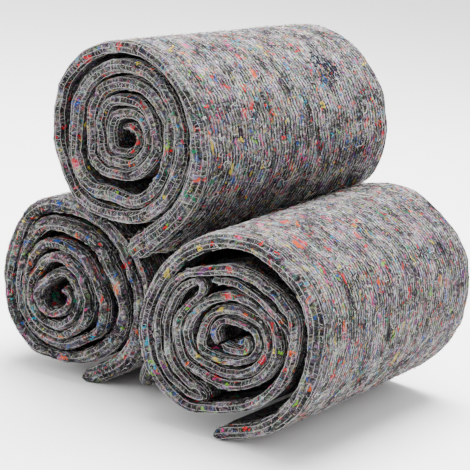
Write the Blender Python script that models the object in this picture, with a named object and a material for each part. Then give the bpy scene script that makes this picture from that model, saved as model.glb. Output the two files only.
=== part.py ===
"""Stack of three moving blankets.

Each blanket is folded into a long band, wound up and laid on its side.
Two rolls lie on the ground and the third lies in the valley between them.
Lengths in the tables are millimetres, everything built is in metres.
"""
import math

import bmesh
import bpy
import numpy as np

MM = 0.001

# Blanket and band
BLANKET_WIDTH = 1372.0
PLIES = 4
BAND_LENGTH = BLANKET_WIDTH / PLIES

# Gap kept between two turns, and how far each of two rolls stops short of their shared level
TURN_GAP = 0.9
ROLL_GAP = 0.2

# Thinnest a squeezed half of the band may get
LEAST_HALF = 1.6

# Runs closer along the band than this share of its thickness are not neighbours, and the least slope of a crossing
SAME_FOLD = 0.75
LEAST_CROSS = 1e-9

# Clock hours of the table columns, in the order the band runs
HOURS = (6, 7, 8, 9, 10, 11, 12, 1, 2, 3, 4, 5)
HOUR_ANGLE = 30.0
TOP_ANGLE = 90.0

# Sections put between two table points
STEPS_PER_POINT = 2

# Marks an hour the band does not reach
NO = None

# Right roll, radius of the middle of the band, one row a turn
RIGHT_RADII = (
    (NO, NO, 20, 24, 23, 20, 18, 20, 27, 32, 30, 27),
    (26, 30, 42, 37, 35, 32, 31, 34, 43, 45, 42, 40),
    (39, 42, 54, 54, 49, 46, 47, 50, 56, 58, 54, 51),
    (51, 54, 66, 66, NO, 77, 75, 75, 83, 76, 73, 73),
    (78, 101, 111, 110, 109, 109, 107, 105, 106, 101, 99, 101),
)
RIGHT_THICK = (
    (9, 9, 9, 9, 9, 9, 9, 9, 9, 9, 9, 9),
    (10, 10, 10, 10, 10, 10, 10, 10, 10, 10, 10, 10),
    (11, 11, 11, 11, 11, 11, 11, 11, 11, 11, 11, 11),
    (12, 12, 12, 12, 12, 12, 12, 12, 12, 12, 12, 12),
    (14, 14, 20, 21, 22, 22, 21, 20, 22, 22, 20, 19),
)
# How far each turn stands out of the near end and of the far end
RIGHT_ENDS = ((-6, 4), (-3, 7), (0, 2), (2, -3), (0, 0))
# Right roll, the slack doubled back on itself after nine o'clock of its fourth turn
RIGHT_DOUBLED = (
    # hour, radius, thickness
    (9.6, 62, 10),
    (10.2, 58, 9),
    (10.6, 60, 8),
    (10.7, 68, 8),
    (10.4, 75, 9),
    (9.9, 79, 10),
    (9.0, 80, 10),
    (8.0, 81, 10),
    (7.2, 75, 9),
    (6.9, 70, 8),
    (6.6, 77, 6),
    (6.9, 83, 8),
    (7.2, 86, 9),
    (8.0, 93, 10),
    (9.0, 93, 10),
    (9.8, 92, 10),
    (10.4, 88, 9),
)
RIGHT_DOUBLED_AFTER = (3, 9)
# Right roll, loose tail
RIGHT_TAIL = ((6, 109, 18),)
# Right roll, thin ply that hangs free inside the fourth turn
RIGHT_LOOSE = (
    # hour, radius, thickness
    (3.1, 77, 5),
    (2.6, 76, 6),
    (2.0, 68, 7),
    (1.0, 61, 7),
    (12.0, 61, 7),
    (11.3, 64, 8),
)
RIGHT_LOOSE_ENDS = (1, -2)

# Left roll
LEFT_RADII = (
    (NO, NO, NO, NO, NO, NO, 7, 8, 10, 11, 12, 15),
    (19, 27, 33, 34, 27, 27, 28, 26, 24, 24, 25, 28),
    (35, 40, 44, 45, 43, 46, 43, 38, 35, 36, 38, 40),
    (47, 51, 55, 55, 59, 62, 55, 50, 47, 52, 58, 54),
    (61, 64, 66, 65, 73, 84, 76, 72, 68, 76, 76, 74),
    (77, 83, 84, 84, 92, 104, 101, 98, 92, 96, 101, 98),
)
LEFT_THICK = (
    (9, 9, 9, 9, 9, 9, 9, 10, 10, 10, 10, 10),
    (10, 10, 10, 10, 10, 10, 10, 10, 10, 10, 10, 11),
    (11, 11, 11, 11, 11, 12, 12, 11, 10, 11, 12, 11),
    (11, 11, 11, 11, 12, 13, 12, 12, 12, 13, 12, 12),
    (13, 13, 13, 13, 15, 18, 19, 18, 17, 14, 20, 19),
    (12, 15, 17, 17, 18, 19, 21, 18, 14, 16, 27, 24),
)
LEFT_ENDS = ((12, 3), (14, 6), (14, 0), (8, -3), (2, 2), (0, 0))
LEFT_TAIL = ((5.2, 98, 20),)
# Left roll, the outer pair of plies that hangs off the last turn
LEFT_LOOSE = (
    # hour, radius, thickness
    (12.3, 104, 8),
    (1.0, 103, 9),
    (2.0, 106, 10),
    (3.0, 112, 12),
    (3.6, 122, 17),
    (4.05, 132, 28),
)
LEFT_LOOSE_ENDS = (-2, -3)

# Top roll
TOP_RADII = (
    (NO, NO, NO, NO, NO, NO, 15, 20, 24, 22, 18, 15),
    (13, 15, 15, 16, 21, 28, 31, 37, 39, 38, 31, 28),
    (24, 28, 29, 28, 36, 44, 46, 52, 52, 51, 43, 40),
    (37, 41, 43, 41, 51, 60, 65, 71, 74, 71, 70, 70),
    (60, 68, 68, 64, 73, 79, 84, 89, 89, 89, 88, 86),
    (82, 87, 89, 92, 101, 103, 104, 107, 109, 111, 111, 112),
)
TOP_THICK = (
    (8, 8, 8, 8, 8, 8, 9, 9, 9, 9, 9, 9),
    (9, 9, 10, 10, 10, 11, 12, 12, 12, 12, 11, 11),
    (11, 11, 12, 12, 12, 13, 13, 13, 13, 12, 12, 12),
    (12, 12, 12, 12, 14, 16, 17, 17, 16, 15, 15, 16),
    (18, 18, 19, 19, 17, 17, 17, 17, 16, 16, 16, 16),
    (17, 17, 16, 16, 16, 16, 16, 16, 18, 22, 28, 34),
)
TOP_ENDS = ((-8, 5), (-5, 2), (-2, 6), (0, -2), (2, 3), (0, 0))
TOP_TAIL = ((5.2, 115, 34),)

# Cross-section of the band: share of its half thickness, depth of the rounding in half thicknesses
NOSE = (
    (-1.0, 0.95),
    (-0.66, 0.25),
    (0.0, 0.0),
    (0.66, 0.25),
    (1.0, 0.95),
)
# Most half thickness the band keeps at the far end, where nothing puffs it up
FAR_HALF = 11.0
# How the two loose edges of the band round off: share of thickness at the last sections
START_TAPER = (0.45, 0.85)
END_TAPER = (1.0, 0.9, 0.55)
END_REACH = (0.35, 0.75, 1.0)

# Placing: near end of the roll axis, heading and dip in degrees, growth of the far end
RIGHT_AXIS = (116.6, -217.0, 123.4)
RIGHT_TURN = (-0.1, 0.7)
RIGHT_GROWTH = 1.035
RIGHT_CLOCK = (0.0, -6.0)
LEFT_AXIS = (-116.6, -167.5, 110.0)
LEFT_TURN = (1.4, 0.0)
LEFT_GROWTH = 1.0
LEFT_CLOCK = (-14.0, -12.0)
TOP_AXIS = (-64.0, -185.9, 301.2)
TOP_TURN = (-7.1, -1.1)
TOP_GROWTH = 1.045
TOP_CLOCK = (-6.0, -12.0)

# How far a roll sinks into what it lies on, and how deep the squeeze reaches
GROUND_SINK = 4.0
SQUEEZE_REACH = 45.0
FLAT_SHARE = 0.5

# Which way the top roll lies from the right one
TOP_FROM_RIGHT = (-0.7, 0.0, 0.715)

# Felt colours and feel
FELT_TOP = (0.33, 0.33, 0.335, 1.0)
FELT_LEFT = (0.31, 0.31, 0.315, 1.0)
FELT_RIGHT = (0.34, 0.335, 0.335, 1.0)
FELT_ROUGH = 0.95


def clock_point(hour, radius):
    """Point on the clock face of a roll end."""
    angle = math.radians(TOP_ANGLE - HOUR_ANGLE * hour)
    return radius * math.cos(angle), radius * math.sin(angle)


def band_rows(radii, thick, ends, tail, doubled=(), doubled_after=None):
    """Table points of one band from its inner edge out: x, z, thickness, near stand, far stand."""
    rows = []
    for turn, turn_radii in enumerate(radii):
        near, far = ends[turn]
        for column, hour in enumerate(HOURS):
            if turn_radii[column] is not None:
                x, z = clock_point(hour, turn_radii[column])
                rows.append((x, z, thick[turn][column], near, far))
            if (turn, hour) == doubled_after:
                rows += [(*clock_point(h, r), t, near, far) for h, r, t in doubled]
    near, far = ends[-1]
    rows += [(*clock_point(h, r), t, near, far) for h, r, t in tail]
    return np.array(rows, dtype=float)


def smooth_rows(rows, steps):
    """Curve through the table points with evenly spread sections between them."""
    first = 2 * rows[0] - rows[1]
    last = 2 * rows[-1] - rows[-2]
    padded = np.vstack((first, rows, last))
    result = []
    for index in range(1, len(padded) - 2):
        before, start, end, after = padded[index - 1:index + 3]
        for step in range(steps):
            t = step / steps
            bend = 2 * before - 5 * start + 4 * end - after
            twist = 3 * start - before - 3 * end + after
            result.append(start + 0.5 * t * (end - before + t * (bend + t * twist)))
    result.append(rows[-1])
    return np.array(result)


def side_directions(points):
    """Outward direction across the band at each section."""
    along = np.gradient(points, axis=0)
    along /= np.linalg.norm(along, axis=1)[:, None]
    return np.column_stack((-along[:, 1], along[:, 0]))


def room_beside(points, thick, sides, sign):
    """Half thickness the band can have on one side before it meets its neighbour."""
    room = thick / 2
    starts = points[:-1]
    runs = points[1:] - starts
    steps = np.linalg.norm(runs, axis=1)
    travel = np.concatenate(((0.0,), np.cumsum(steps)))
    for index, point in enumerate(points):
        ray = sign * sides[index]
        gap = starts - point
        cross = ray[0] * runs[:, 1] - ray[1] * runs[:, 0]
        cross = np.where(abs(cross) < LEAST_CROSS, LEAST_CROSS, cross)
        distance = (gap[:, 0] * runs[:, 1] - gap[:, 1] * runs[:, 0]) / cross
        share = (gap[:, 0] * ray[1] - gap[:, 1] * ray[0]) / cross
        away = abs(travel[:-1] - travel[index]) > thick[index] * SAME_FOLD
        hits = (share >= 0) & (share <= 1) & (distance > 0) & away
        if not hits.any():
            continue
        nearest = np.where(hits, distance, np.inf).argmin()
        part = thick[index] / (thick[index] + thick[nearest])
        free = (distance[nearest] - TURN_GAP) * part
        room[index] = max(min(room[index], free), LEAST_HALF)
    return room


def band_solid(name, rows):
    """Closed solid of one wound band, near end at y = 0, lengths in millimetres."""
    line = smooth_rows(rows, STEPS_PER_POINT)
    points = line[:, :2]
    thick = line[:, 2]
    sides = side_directions(points)
    outer = room_beside(points, thick, sides, 1)
    inner = room_beside(points, thick, sides, -1)
    for index, share in enumerate(START_TAPER):
        outer[index] *= share
        inner[index] *= share
    end_half = (outer[-1] + inner[-1]) / 2
    end_run = points[-1] - points[-2]
    end_run /= np.linalg.norm(end_run)
    stations = [(points[i], sides[i], outer[i], inner[i], line[i, 3], line[i, 4]) for i in range(len(points))]
    for reach, share in zip(END_REACH, END_TAPER):
        tip = points[-1] + end_run * end_half * reach
        stations.append((tip, sides[-1], outer[-1] * share, inner[-1] * share, line[-1, 3], line[-1, 4]))
    mesh = bmesh.new()
    rings = []
    for point, side, out, into, near, far in stations:
        half = (out + into) / 2
        far_half = min(half, FAR_HALF)
        middle = point + side * (out - into) / 2
        belly = (half + far_half) / 2
        ring = []
        for across, depth in NOSE:
            x, z = middle + side * half * across
            ring.append(mesh.verts.new((x, depth * half - near, z)))
        x, z = middle + side * belly
        ring.append(mesh.verts.new((x, BAND_LENGTH / 2, z)))
        for across, depth in reversed(NOSE):
            x, z = middle + side * far_half * across
            ring.append(mesh.verts.new((x, BAND_LENGTH - depth * far_half + far, z)))
        x, z = middle - side * belly
        ring.append(mesh.verts.new((x, BAND_LENGTH / 2, z)))
        rings.append(ring)
    for ring, following in zip(rings, rings[1:]):
        for index in range(len(ring)):
            after = (index + 1) % len(ring)
            mesh.faces.new((ring[index], ring[after], following[after], following[index]))
    mesh.faces.new(rings[0])
    mesh.faces.new(rings[-1])
    bmesh.ops.recalc_face_normals(mesh, faces=mesh.faces)
    data = bpy.data.meshes.new(name)
    mesh.to_mesh(data)
    mesh.free()
    return bpy.data.objects.new(name, data)


def join_bands(body, flap):
    """Join a loose flap into the roll it belongs to."""
    union = body.modifiers.new("flap", "BOOLEAN")
    union.operation = "UNION"
    union.solver = "EXACT"
    union.object = flap
    bpy.context.view_layer.update()
    graph = bpy.context.evaluated_depsgraph_get()
    data = bpy.data.meshes.new_from_object(body.evaluated_get(graph))
    body.modifiers.remove(union)
    body.data = data
    bpy.data.objects.remove(flap)


def vertex_array(item):
    """Corner positions of an object as rows."""
    flat = np.empty(len(item.data.vertices) * 3)
    item.data.vertices.foreach_get("co", flat)
    return flat.reshape(-1, 3)


def put_vertices(item, places):
    """Write corner positions back."""
    item.data.vertices.foreach_set("co", places.ravel())
    item.data.update()


def place_roll(item, axis, turn, growth, clock):
    """Move a roll from its own frame onto the pile."""
    places = vertex_array(item)
    places[:, 0] += clock[0]
    places[:, 2] += clock[1]
    wider = 1 + (growth - 1) * places[:, 1] / BAND_LENGTH
    places[:, 0] *= wider
    places[:, 2] *= wider
    heading, dip = (math.radians(angle) for angle in turn)
    along = np.array((-math.sin(heading) * math.cos(dip), math.cos(heading) * math.cos(dip), math.sin(dip)))
    across = np.array((math.cos(heading), math.sin(heading), 0.0))
    up = np.cross(across, along)
    frame = np.array((across, along, up))
    put_vertices(item, places @ frame + np.array(axis))


def squeeze(item, normal, level, depth, least):
    """Press a roll against a flat level, thin layers near it most, and flatten what still crosses."""
    places = vertex_array(item)
    height = places @ normal - level
    near = height < SQUEEZE_REACH
    shrink = (SQUEEZE_REACH + depth * FLAT_SHARE) / (SQUEEZE_REACH + depth)
    pressed = np.where(near, SQUEEZE_REACH - (SQUEEZE_REACH - height) * shrink, height)
    pressed = np.maximum(pressed, least)
    put_vertices(item, places + np.outer(pressed - height, normal))


def ground_roll(item):
    """Lay a roll on the ground with a flat strip under it."""
    places = vertex_array(item)
    places[:, 2] -= places[:, 2].min() + GROUND_SINK
    put_vertices(item, places)
    squeeze(item, np.array((0.0, 0.0, 1.0)), 0.0, GROUND_SINK, 0.0)


def press_together(item, other, direction):
    """Flatten two rolls where they lie against each other."""
    normal = np.array(direction) / np.linalg.norm(direction)
    low = (vertex_array(item) @ normal).min()
    high = (vertex_array(other) @ normal).max()
    overlap = high - low
    level = (high + low) / 2
    depth = overlap / 2
    squeeze(item, normal, level, depth, ROLL_GAP)
    squeeze(other, -normal, -level, depth, ROLL_GAP)


def felt(name, colour):
    """Matt felt."""
    material = bpy.data.materials.new(name)
    material.use_nodes = True
    shader = material.node_tree.nodes["Principled BSDF"]
    shader.inputs["Base Color"].default_value = colour
    shader.inputs["Roughness"].default_value = FELT_ROUGH
    shader.inputs["Metallic"].default_value = 0.0
    return material


def finish_roll(item, colour):
    """Soft shading and felt."""
    for face in item.data.polygons:
        face.use_smooth = True
    item.data.materials.append(felt(item.name + "_felt", colour))


# Empty scene
for item in list(bpy.data.objects):
    bpy.data.objects.remove(item)
stack = bpy.data.collections.new("moving_blanket_stack")
bpy.context.scene.collection.children.link(stack)

# Wind the three bands
right_rows = band_rows(RIGHT_RADII, RIGHT_THICK, RIGHT_ENDS, RIGHT_TAIL, RIGHT_DOUBLED, RIGHT_DOUBLED_AFTER)
right = band_solid("roll_right", right_rows)
left = band_solid("roll_left", band_rows(LEFT_RADII, LEFT_THICK, LEFT_ENDS, LEFT_TAIL))
top = band_solid("roll_top", band_rows(TOP_RADII, TOP_THICK, TOP_ENDS, TOP_TAIL))
right_loose = band_solid("right_loose", band_rows((), (), (RIGHT_LOOSE_ENDS,), RIGHT_LOOSE))
left_loose = band_solid("left_loose", band_rows((), (), (LEFT_LOOSE_ENDS,), LEFT_LOOSE))
for item in (right, left, top, right_loose, left_loose):
    stack.objects.link(item)
join_bands(right, right_loose)
join_bands(left, left_loose)

# Lay them on the pile
place_roll(right, RIGHT_AXIS, RIGHT_TURN, RIGHT_GROWTH, RIGHT_CLOCK)
place_roll(left, LEFT_AXIS, LEFT_TURN, LEFT_GROWTH, LEFT_CLOCK)
place_roll(top, TOP_AXIS, TOP_TURN, TOP_GROWTH, TOP_CLOCK)
ground_roll(right)
ground_roll(left)

# Press the top roll into the right one
press_together(top, right, TOP_FROM_RIGHT)

# Centre the pile over the middle of its footprint
every = np.vstack([vertex_array(item) for item in (right, left, top)])
middle = (every.min(axis=0) + every.max(axis=0)) / 2
middle[2] = 0.0
for item in (right, left, top):
    put_vertices(item, (vertex_array(item) - middle) * MM)

# Felt
finish_roll(right, FELT_RIGHT)
finish_roll(left, FELT_LEFT)
finish_roll(top, FELT_TOP)
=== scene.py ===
# %% [markdown]
# # A stack of rolled moving blankets
# Three felt blankets, each folded in four and wound up, lie in a small pyramid with
# their spiral ends to the front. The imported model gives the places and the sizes. Here
# each roll is dressed as real cloth: four plies folded into a band, the band wound up,
# white rows of stitching, bits of coloured yarn and loose fibres.

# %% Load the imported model
import math
from functools import partial

import bmesh
import bpy
import numpy as np
from mathutils import Matrix, Vector
from mathutils.bvhtree import BVHTree


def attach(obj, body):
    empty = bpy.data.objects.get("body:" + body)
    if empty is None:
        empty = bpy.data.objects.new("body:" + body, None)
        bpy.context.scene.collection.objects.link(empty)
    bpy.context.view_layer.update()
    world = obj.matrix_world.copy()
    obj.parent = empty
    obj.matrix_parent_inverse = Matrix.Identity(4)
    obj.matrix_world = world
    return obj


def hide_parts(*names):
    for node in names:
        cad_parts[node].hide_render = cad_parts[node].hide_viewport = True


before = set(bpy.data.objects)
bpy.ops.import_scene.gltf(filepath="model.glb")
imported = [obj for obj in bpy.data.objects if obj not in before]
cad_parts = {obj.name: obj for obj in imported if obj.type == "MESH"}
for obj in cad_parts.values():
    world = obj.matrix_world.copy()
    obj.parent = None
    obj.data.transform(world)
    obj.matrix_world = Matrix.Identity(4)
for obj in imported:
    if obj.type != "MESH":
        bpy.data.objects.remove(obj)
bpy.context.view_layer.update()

MM = 0.001


def add_object(name, data):
    """New object at the origin, linked to the scene."""
    item = bpy.data.objects.new(name, data)
    bpy.context.scene.collection.objects.link(item)
    return item


# %% [markdown]
# ## Camera
# The picture looks down a little on the near ends of the rolls from the right, with the
# camera tipped slightly to one side. The camera comes first, because all that follows is
# compared with the photograph through it. Its three axes are written as columns.

# %% Camera
PILE_CENTRE = np.array((0.629, -18.98, 0.0))
CAMERA_PLACE = np.array((1.24300, -2.13278, 0.80371)) - PILE_CENTRE * MM
CAMERA_RIGHT = (0.84293532, 0.52841002, 0.10120724)
CAMERA_UP = (-0.2165075, 0.16094903, 0.96292259)
CAMERA_BACK = (0.49252874, -0.83359358, 0.25007436)
LENS = 168.1
SENSOR = 36.0

lens = bpy.data.cameras.new("camera")
lens.lens = LENS
lens.sensor_width = SENSOR
lens.sensor_fit = "AUTO"
camera = add_object("camera", lens)
axes = Matrix((CAMERA_RIGHT, CAMERA_UP, CAMERA_BACK)).transposed().to_4x4()
camera.matrix_world = Matrix.Translation(Vector(CAMERA_PLACE)) @ axes
bpy.context.scene.camera = camera
print("camera at", [round(c, 3) for c in camera.location])

# %% [markdown]
# ## How each band is wound
# A roll is drawn as a clock face: one row a turn, one column an hour, and in each place
# the radius of the middle of the band in millimetres. The tables repeat those of the
# solid model, so the cloth lies where the solids are.

# %% Winding tables
HOURS = (6, 7, 8, 9, 10, 11, 12, 1, 2, 3, 4, 5)
HOUR_ANGLE = 30.0
TOP_ANGLE = 90.0
BAND_LENGTH = 343.0
NO = None

# Right roll, radius of the middle of the band, one row a turn
RIGHT_RADII = (
    (NO, NO, 20, 24, 23, 20, 18, 20, 27, 32, 30, 27),
    (26, 30, 42, 37, 35, 32, 31, 34, 43, 45, 42, 40),
    (39, 42, 54, 54, 49, 46, 47, 50, 56, 58, 54, 51),
    (51, 54, 66, 66, NO, 77, 75, 75, 83, 76, 73, 73),
    (78, 101, 111, 110, 109, 109, 107, 105, 106, 101, 99, 101),
)
RIGHT_THICK = (
    (9,) * 12,
    (10,) * 12,
    (11,) * 12,
    (12,) * 12,
    (14, 14, 20, 21, 22, 22, 21, 20, 22, 22, 20, 19),
)
# How far each turn stands out of the near end and of the far end
RIGHT_ENDS = ((-6, 4), (-3, 7), (0, 2), (2, -3), (0, 0))
# Right roll, the slack doubled back on itself after nine o'clock of its fourth turn
RIGHT_DOUBLED = (
    # hour, radius, thickness
    (9.6, 62, 10),
    (10.2, 58, 9),
    (10.6, 60, 8),
    (10.7, 68, 8),
    (10.4, 75, 9),
    (9.9, 79, 10),
    (9.0, 80, 10),
    (8.0, 81, 10),
    (7.2, 75, 9),
    (6.9, 70, 8),
    (6.6, 77, 6),
    (6.9, 83, 8),
    (7.2, 86, 9),
    (8.0, 93, 10),
    (9.0, 93, 10),
    (9.8, 92, 10),
    (10.4, 88, 9),
)
RIGHT_DOUBLED_AFTER = (3, 9)
# Right roll, loose tail
RIGHT_TAIL = ((6, 109, 18),)

# Right roll, thin ply that hangs free inside the fourth turn
RIGHT_LOOSE = (
    # hour, radius, thickness
    (3.1, 77, 5),
    (2.6, 76, 6),
    (2.0, 68, 7),
    (1.0, 61, 7),
    (12.0, 61, 7),
    (11.3, 64, 8),
)
RIGHT_LOOSE_ENDS = (1, -2)

# Left roll
LEFT_RADII = (
    (NO, NO, NO, NO, NO, NO, 7, 8, 10, 11, 12, 15),
    (19, 27, 33, 34, 27, 27, 28, 26, 24, 24, 25, 28),
    (35, 40, 44, 45, 43, 46, 43, 38, 35, 36, 38, 40),
    (47, 51, 55, 55, 59, 62, 55, 50, 47, 52, 58, 54),
    (61, 64, 66, 65, 73, 84, 76, 72, 68, 76, 76, 74),
    (77, 83, 84, 84, 92, 104, 101, 98, 92, 96, 101, 98),
)
LEFT_THICK = (
    (9, 9, 9, 9, 9, 9, 9, 10, 10, 10, 10, 10),
    (10, 10, 10, 10, 10, 10, 10, 10, 10, 10, 10, 11),
    (11, 11, 11, 11, 11, 12, 12, 11, 10, 11, 12, 11),
    (11, 11, 11, 11, 12, 13, 12, 12, 12, 13, 12, 12),
    (13, 13, 13, 13, 15, 18, 19, 18, 17, 14, 20, 19),
    (12, 15, 17, 17, 18, 19, 21, 18, 14, 16, 27, 24),
)
LEFT_ENDS = ((12, 3), (14, 6), (14, 0), (8, -3), (2, 2), (0, 0))
LEFT_TAIL = ((5.2, 98, 20),)
# Left roll, the outer pair of plies that hangs off the last turn
LEFT_LOOSE = (
    # hour, radius, thickness
    (12.3, 104, 8),
    (1.0, 103, 9),
    (2.0, 106, 10),
    (3.0, 112, 12),
    (3.6, 122, 17),
    (4.05, 132, 28),
)

LEFT_LOOSE_ENDS = (-2, -3)

# Top roll
TOP_RADII = (
    (NO, NO, NO, NO, NO, NO, 15, 20, 24, 22, 18, 15),
    (13, 15, 15, 16, 21, 28, 31, 37, 39, 38, 31, 28),
    (24, 28, 29, 28, 36, 44, 46, 52, 52, 51, 43, 40),
    (37, 41, 43, 41, 51, 60, 65, 71, 74, 71, 70, 70),
    (60, 68, 68, 64, 73, 79, 84, 89, 89, 89, 88, 86),
    (82, 87, 89, 92, 101, 103, 104, 107, 109, 111, 111, 112),
)
TOP_THICK = (
    (8, 8, 8, 8, 8, 8, 9, 9, 9, 9, 9, 9),
    (9, 9, 10, 10, 10, 11, 12, 12, 12, 12, 11, 11),
    (11, 11, 12, 12, 12, 13, 13, 13, 13, 12, 12, 12),
    (12, 12, 12, 12, 14, 16, 17, 17, 16, 15, 15, 16),
    (18, 18, 19, 19, 17, 17, 17, 17, 16, 16, 16, 16),
    (17, 17, 16, 16, 16, 16, 16, 16, 18, 22, 28, 34),
)
TOP_ENDS = ((-8, 5), (-5, 2), (-2, 6), (0, -2), (2, 3), (0, 0))
TOP_TAIL = ((5.2, 115, 34),)


def clock_point(hour, radius):
    """Point on the clock face of a roll end."""
    angle = math.radians(TOP_ANGLE - HOUR_ANGLE * hour)
    return radius * math.cos(angle), radius * math.sin(angle)


def band_rows(radii, thick, ends, tail, doubled=(), doubled_after=None):
    """Table points of one band from its inner edge out: x, z, thickness, near stand, far stand."""
    rows = []
    for turn, turn_radii in enumerate(radii):
        near, far = ends[turn]
        for column, hour in enumerate(HOURS):
            if turn_radii[column] is not None:
                x, z = clock_point(hour, turn_radii[column])
                rows.append((x, z, thick[turn][column], near, far))
            if (turn, hour) == doubled_after:
                rows += [(*clock_point(h, r), t, near, far) for h, r, t in doubled]
    near, far = ends[-1]
    rows += [(*clock_point(h, r), t, near, far) for h, r, t in tail]
    return np.array(rows, dtype=float)


BANDS = {
    "right": band_rows(RIGHT_RADII, RIGHT_THICK, RIGHT_ENDS, RIGHT_TAIL, RIGHT_DOUBLED, RIGHT_DOUBLED_AFTER),
    "left": band_rows(LEFT_RADII, LEFT_THICK, LEFT_ENDS, LEFT_TAIL),
    "top": band_rows(TOP_RADII, TOP_THICK, TOP_ENDS, TOP_TAIL),
}
# Soft lip that lies curled in the open core of the right roll, too fine for the solid
RIGHT_CORE = (
    # hour, radius, thickness
    (7.7, 15.5, 7),
    (6.3, 13.0, 8),
    (5.0, 16.0, 8),
    (4.1, 20.0, 8),
    (3.4, 21.0, 7),
    (2.8, 17.5, 6),
    (3.3, 12.0, 5),
)
RIGHT_CORE_ENDS = (-5, 2)
# Plies that hang apart, each a band of its own
LOOSE_BANDS = {
    "right": (
        band_rows((), (), (RIGHT_LOOSE_ENDS,), RIGHT_LOOSE),
        band_rows((), (), (RIGHT_CORE_ENDS,), RIGHT_CORE),
    ),
    "left": (band_rows((), (), (LEFT_LOOSE_ENDS,), LEFT_LOOSE),),
    "top": (),
}
print("table points", {name: len(rows) for name, rows in BANDS.items()})

# %% [markdown]
# ## From tables to sections
# A smooth curve runs through the table points. At each section the band is as thick as
# the table says, or thinner where the next turn leaves less room. A rolled blanket is
# never even, so slow waves are laid over the thickness and over how far the folded edge
# stands out. Those on the thickness only ever make the band thinner than the solid.

# %% Sections along a band
STEPS_PER_POINT = 6
TURN_GAP = 0.9
LEAST_HALF = 1.6
OWN_TURN = 0.75
PARALLEL = 1e-9
THINNING = 0.07
THINNING_LENGTH = 160
EDGE_WAVES = {
    # height and length in millimetres, levels
    "near": (1.6, 150, 7),
    "ragged": (0.9, 37, 7),
    "far": (2.0, 180, 7),
    "drift": (3.0, 400, 3),
}
START_TAPER = (0.4, 0.6, 0.74, 0.85, 0.93, 0.98)
END_REACH = (0.2, 0.4, 0.58, 0.74, 0.86, 0.94, 0.985)
END_ROUND = 2.4


def smooth_rows(rows, steps):
    """Curve through the table points with evenly spread sections between them."""
    first = 2 * rows[0] - rows[1]
    last = 2 * rows[-1] - rows[-2]
    padded = np.vstack((first, rows, last))
    result = []
    for index in range(1, len(padded) - 2):
        before, start, end, after = padded[index - 1:index + 3]
        for step in range(steps):
            t = step / steps
            bend = 2 * before - 5 * start + 4 * end - after
            twist = 3 * start - before - 3 * end + after
            result.append(start + 0.5 * t * (end - before + t * (bend + t * twist)))
    result.append(rows[-1])
    return np.array(result)


def side_directions(points):
    """Outward direction across the band at each section."""
    along = np.gradient(points, axis=0)
    along /= np.linalg.norm(along, axis=1)[:, None]
    return np.column_stack((-along[:, 1], along[:, 0]))


def travel_along(points):
    """Distance along the band at each section."""
    steps = np.linalg.norm(np.diff(points, axis=0), axis=1)
    return np.concatenate(((0.0,), np.cumsum(steps)))


def ray_hits(point, ray, line):
    """Distance from a point along a ray to each run of a line, infinite where it misses."""
    runs = line[1:] - line[:-1]
    gap = line[:-1] - point
    cross = ray[0] * runs[:, 1] - ray[1] * runs[:, 0]
    cross = np.where(abs(cross) < PARALLEL, PARALLEL, cross)
    distance = (gap[:, 0] * runs[:, 1] - gap[:, 1] * runs[:, 0]) / cross
    share = (gap[:, 0] * ray[1] - gap[:, 1] * ray[0]) / cross
    return np.where((share >= 0) & (share <= 1) & (distance > 0), distance, np.inf)


def room_beside(points, thick, sides, sign):
    """Half thickness the band can have on one side before it meets its neighbour."""
    room = thick / 2
    travel = travel_along(points)
    for index, point in enumerate(points):
        distance = ray_hits(point, sign * sides[index], points)
        distance[abs(travel[:-1] - travel[index]) <= thick[index] * OWN_TURN] = np.inf
        nearest = distance.argmin()
        if distance[nearest] < np.inf:
            part = thick[index] / (thick[index] + thick[nearest])
            free = (distance[nearest] - TURN_GAP) * part
            room[index] = max(min(room[index], free), LEAST_HALF)
    return room


def waves(travel, seed, longest, count=7):
    """Smooth uneven wave between -1 and 1 along the band."""
    draw = np.random.default_rng(seed)
    total = np.zeros(len(travel))
    for level in range(count):
        length = longest / (1 + level) ** 0.9
        total += np.sin(travel * 2 * math.pi / length + draw.uniform(0, 2 * math.pi)) * draw.uniform(0.4, 1.0)
    return total / abs(total).max()


def edge_wave(label, travel, seed):
    """Waves of one row of the table, in millimetres."""
    height, length, levels = EDGE_WAVES[label]
    return height * waves(travel, seed, length, levels)


def open_side(points, thick, sides):
    """Whether a section has no other turn outside it: 1 or 0."""
    travel = travel_along(points)
    shown = np.ones(len(points))
    for index, point in enumerate(points):
        away = abs(travel[:-1] - travel[index]) > thick[index]
        shown[index] = np.isinf(ray_hits(point, sides[index], points)[away]).all()
    return shown


def band_sections(rows, seed):
    """Every section of a band as one table of named columns."""
    line = smooth_rows(rows, STEPS_PER_POINT)
    points = line[:, :2]
    thick = line[:, 2]
    sides = side_directions(points)
    travel = travel_along(points)
    thin = 1 - THINNING * (1 + waves(travel, seed, THINNING_LENGTH))
    taper = np.ones(len(points))
    taper[:len(START_TAPER)] = START_TAPER
    table = {
        "sides": sides,
        "outer": room_beside(points, thick, sides, 1) * thin * taper,
        "inner": room_beside(points, thick, sides, -1) * thin * taper,
        "near": line[:, 3] + edge_wave("near", travel, seed + 1) + edge_wave("ragged", travel, seed + 2),
        "far": line[:, 4] + edge_wave("far", travel, seed + 3),
        "shown": open_side(points, thick, sides),
    }
    # the loose end is rounded off
    end_run = points[-1] - points[-2]
    end_run /= np.linalg.norm(end_run)
    end_half = (table["outer"][-1] + table["inner"][-1]) / 2
    reach = np.array(END_REACH)
    share = (1 - reach ** END_ROUND) ** (1 / END_ROUND)
    for label, column in table.items():
        table[label] = np.concatenate((column, np.repeat(column[-1:], len(reach), axis=0)))
    for label in ("outer", "inner"):
        table[label][-len(reach):] *= share
    table["points"] = np.vstack((points, points[-1] + np.outer(reach, end_run * end_half)))
    table["travel"] = travel_along(table["points"])
    table["drift"] = edge_wave("drift", table["travel"], seed + 4)
    return table


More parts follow.
